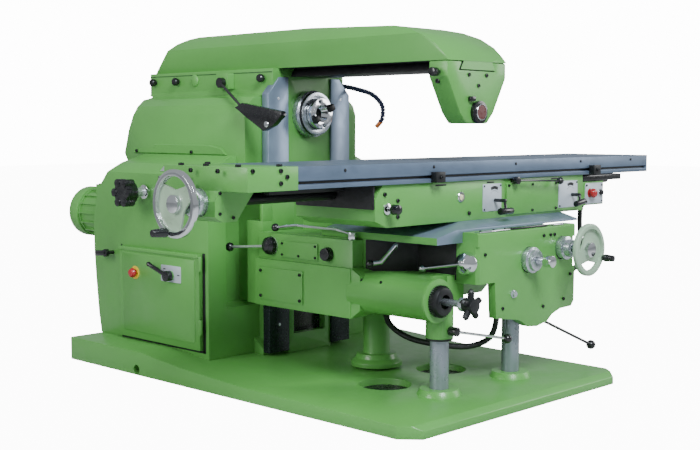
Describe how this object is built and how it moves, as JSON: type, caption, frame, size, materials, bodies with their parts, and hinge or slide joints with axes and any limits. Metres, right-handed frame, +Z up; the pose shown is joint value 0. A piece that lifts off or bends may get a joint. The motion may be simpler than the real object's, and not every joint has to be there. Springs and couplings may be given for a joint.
{
  "type": "knee-type milling machine",
  "caption": "Green floor-standing knee-type milling machine with a horizontal spindle, sliding overarm, arbor support, T-slotted table and black and chrome controls.",
  "frame": {"origin": "point on the floor under the spindle plane and the face of the column ways", "axes": "+X along the table to the operator's right, +Y from the operator to the column, +Z up"},
  "size_m": [2.584, 2.428, 1.424],
  "materials": {
    "green_paint": "semi-gloss",
    "machined_steel": "ground",
    "chrome": "polished",
    "black_plastic": "gloss",
    "red_plastic": "gloss",
    "rubber": "matt",
    "orange_plastic": "matt"
  },
  "bodies": {
    "frame": {"base": "green_paint", "column": "green_paint", "way_left": "machined_steel", "way_right": "machined_steel", "motor": "green_paint", "fan_cover": "green_paint", "spindle_flange": "chrome", "coolant_hose": "rubber", "coolant_nozzle": "orange_plastic", "post_left": "machined_steel", "post_right": "machined_steel", "lift_tube": "green_paint"},
    "door": {"cabinet_door": "green_paint"},
    "rear_latch_body": {"rear_latch": "black_plastic"},
    "main_switch": {"switch_lever": "black_plastic"},
    "door_stop": {"door_stop_button": "red_plastic"},
    "overarm_body": {"overarm": "green_paint"},
    "support": {"arbor_support": "green_paint", "support_cap": "black_plastic"},
    "support_clamp": {"support_knob": "black_plastic"},
    "spindle": {"spindle_nose": "chrome"},
    "speed_lever_body": {"speed_lever": "black_plastic"},
    "gear_selector_body": {"gear_selector": "black_plastic"},
    "start": {"start_button": "black_plastic"},
    "jog": {"jog_button": "black_plastic"},
    "stop": {"stop_button": "red_plastic"},
    "knee_body": {"knee": "green_paint", "wheel_bush": "machined_steel", "drain_hose": "rubber"},
    "feed_knob": {"feed_rate_knob": "black_plastic"},
    "side_lever": {"knee_side_lever": "black_plastic"},
    "vertical_dial_body": {"vertical_dial": "black_plastic"},
    "vertical_crank": {"vertical_shaft": "chrome", "star_handle": "black_plastic"},
    "saddle_clamp": {"saddle_clamp_lever": "chrome"},
    "power_feed": {"power_feed_lever": "chrome"},
    "knee_clamp": {"knee_clamp_crank": "chrome"},
    "cross_dial_body": {"cross_dial": "machined_steel"},
    "cross_shaft_body": {"cross_shaft": "chrome"},
    "cross_handwheel": {"cross_wheel": "green_paint", "cross_grip": "black_plastic"},
    "quick_feed": {"quick_feed_lever": "black_plastic"},
    "post_clamp": {"post_clamp_lever": "black_plastic"},
    "saddle_body": {"saddle": "machined_steel", "bed": "green_paint", "bed_cover": "green_paint", "conduit": "rubber"},
    "saddle_stop": {"stop_mushroom": "red_plastic"},
    "bed_push": {"bed_button": "black_plastic"},
    "long_feed": {"bed_lever": "black_plastic"},
    "rate": {"rate_lever": "black_plastic"},
    "bed_clamp_body": {"bed_clamp": "black_plastic"},
    "trip": {"trip_lever": "black_plastic"},
    "table_body": {"table": "machined_steel", "dog_left": "black_plastic", "dog_right": "black_plastic", "end_bracket": "green_paint"},
    "table_dial_body": {"table_dial": "machined_steel"},
    "table_handwheel": {"table_wheel": "machined_steel", "table_grip": "black_plastic"}
  },
  "joints": [
    {"name": "door_swing", "type": "hinge", "parent": "frame", "child": "door", "pos_m": [-0.5, 0.138, 0.31], "axis": [0, 0, 1], "range_deg": [0, 95]},
    {"name": "main_switch_turn", "type": "hinge", "parent": "door", "child": "main_switch", "pos_m": [-0.52, 0.318, 0.407], "axis": [1, 0, 0], "range_deg": [0, 60]},
    {"name": "door_stop_press", "type": "slide", "parent": "door", "child": "door_stop", "axis": [1, 0, 0], "range_m": [0, 0.005], "stiffness_N_per_m": 400},
    {"name": "rear_latch_turn", "type": "hinge", "parent": "frame", "child": "rear_latch_body", "pos_m": [-0.5, 0.765, 0.47], "axis": [1, 0, 0], "range_deg": [0, 90]},
    {"name": "overarm_slide", "type": "slide", "parent": "frame", "child": "overarm_body", "axis": [0, 1, 0], "range_m": [-0.1, 0.25]},
    {"name": "support_slide", "type": "slide", "parent": "overarm_body", "child": "support", "axis": [0, 1, 0], "range_m": [0, 0.3]},
    {"name": "support_clamp_turn", "type": "hinge", "parent": "support", "child": "support_clamp", "pos_m": [-0.2, -0.85, 1.222], "axis": [1, 0, 0], "continuous": true},
    {"name": "spindle_spin", "type": "hinge", "parent": "frame", "child": "spindle", "pos_m": [0, 0, 1.078], "axis": [0, 1, 0], "continuous": true},
    {"name": "speed_lever_turn", "type": "hinge", "parent": "frame", "child": "speed_lever_body", "pos_m": [-0.28, 0.286, 1.21], "axis": [1, 0, 0], "range_deg": [-40, 5]},
    {"name": "gear_selector_turn", "type": "hinge", "parent": "frame", "child": "gear_selector_body", "pos_m": [-0.55, 0.516, 0.748], "axis": [1, 0, 0], "continuous": true},
    {"name": "start_press", "type": "slide", "parent": "frame", "child": "start", "axis": [1, 0, 0], "range_m": [0, 0.004], "stiffness_N_per_m": 400},
    {"name": "jog_press", "type": "slide", "parent": "frame", "child": "jog", "axis": [1, 0, 0], "range_m": [0, 0.004], "stiffness_N_per_m": 400},
    {"name": "stop_press", "type": "slide", "parent": "frame", "child": "stop", "axis": [1, 0, 0], "range_m": [0, 0.004], "stiffness_N_per_m": 400},
    {"name": "knee_lift", "type": "slide", "parent": "frame", "child": "knee_body", "axis": [0, 0, 1], "range_m": [-0.08, 0.11]},
    {"name": "feed_knob_turn", "type": "hinge", "parent": "knee_body", "child": "feed_knob", "pos_m": [-0.32, -0.418, 0.538], "axis": [1, 0, 0], "continuous": true},
    {"name": "knee_side_lever_turn", "type": "hinge", "parent": "knee_body", "child": "side_lever", "pos_m": [-0.32, -0.092, 0.548], "axis": [1, 0, 0], "range_deg": [-25, 25]},
    {"name": "vertical_dial_turn", "type": "hinge", "parent": "knee_body", "child": "vertical_dial_body", "pos_m": [-0.262, -0.94, 0.404], "axis": [0, 1, 0], "continuous": true},
    {"name": "vertical_crank_turn", "type": "hinge", "parent": "knee_body", "child": "vertical_crank", "pos_m": [-0.262, -1, 0.404], "axis": [0, 1, 0], "continuous": true},
    {"name": "saddle_clamp_turn", "type": "hinge", "parent": "knee_body", "child": "saddle_clamp", "pos_m": [-0.15, -0.938, 0.528], "axis": [1, 0, 0], "range_deg": [0, 20]},
    {"name": "power_feed_turn", "type": "hinge", "parent": "knee_body", "child": "power_feed", "pos_m": [-0.284, -0.52, 0.62], "axis": [0, 0, 1], "range_deg": [0, 40]},
    {"name": "knee_clamp_turn", "type": "hinge", "parent": "knee_body", "child": "knee_clamp", "pos_m": [-0.184, -0.65, 0.582], "axis": [-0.7071, -0.7071, 0], "range_deg": [-20, 10]},
    {"name": "cross_dial_turn", "type": "hinge", "parent": "knee_body", "child": "cross_dial_body", "pos_m": [0.202, -1, 0.52], "axis": [0, 1, 0], "continuous": true},
    {"name": "cross_shaft_turn", "type": "hinge", "parent": "knee_body", "child": "cross_shaft_body", "pos_m": [0.202, -1.04, 0.52], "axis": [0, 1, 0], "continuous": true},
    {"name": "cross_wheel_turn", "type": "hinge", "parent": "knee_body", "child": "cross_handwheel", "pos_m": [0.424, -1.09, 0.55], "axis": [0, 1, 0], "continuous": true},
    {"name": "quick_feed_turn", "type": "hinge", "parent": "knee_body", "child": "quick_feed", "pos_m": [0.5, -0.874, 0.33], "axis": [1, 0, 0], "range_deg": [-12, 12]},
    {"name": "post_clamp_turn", "type": "hinge", "parent": "knee_body", "child": "post_clamp", "pos_m": [-0.192, -0.95, 0.288], "axis": [0, 1, 0], "range_deg": [-5, 12]},
    {"name": "cross_slide", "type": "slide", "parent": "knee_body", "child": "saddle_body", "axis": [0, 1, 0], "range_m": [-0.03, 0.18]},
    {"name": "saddle_stop_press", "type": "slide", "parent": "saddle_body", "child": "saddle_stop", "axis": [0, 1, 0], "range_m": [0, 0.005], "stiffness_N_per_m": 400},
    {"name": "bed_button_press", "type": "slide", "parent": "saddle_body", "child": "bed_push", "axis": [0, 1, 0], "range_m": [0, 0.004], "stiffness_N_per_m": 400},
    {"name": "long_feed_turn", "type": "hinge", "parent": "saddle_body", "child": "long_feed", "pos_m": [0.176, -0.85, 0.742], "axis": [0, 1, 0], "range_deg": [-25, 25]},
    {"name": "rate_turn", "type": "hinge", "parent": "saddle_body", "child": "rate", "pos_m": [0.69, -0.85, 0.742], "axis": [0, 1, 0], "range_deg": [-25, 25]},
    {"name": "bed_clamp_turn", "type": "hinge", "parent": "saddle_body", "child": "bed_clamp_body", "pos_m": [-0.44, -0.86, 0.738], "axis": [0, 1, 0], "continuous": true},
    {"name": "trip_turn", "type": "hinge", "parent": "saddle_body", "child": "trip", "pos_m": [0.287, -0.86, 0.8146], "axis": [0, 1, 0], "range_deg": [0, 10]},
    {"name": "table_slide", "type": "slide", "parent": "saddle_body", "child": "table_body", "axis": [1, 0, 0], "range_m": [-0.42, 0.34]},
    {"name": "table_dial_turn", "type": "hinge", "parent": "table_body", "child": "table_dial_body", "pos_m": [-1.13, -0.64, 0.784], "axis": [1, 0, 0], "continuous": true},
    {"name": "table_wheel_turn", "type": "hinge", "parent": "table_body", "child": "table_handwheel", "pos_m": [-1.2, -0.64, 0.784], "axis": [1, 0, 0], "continuous": true}
  ]
}
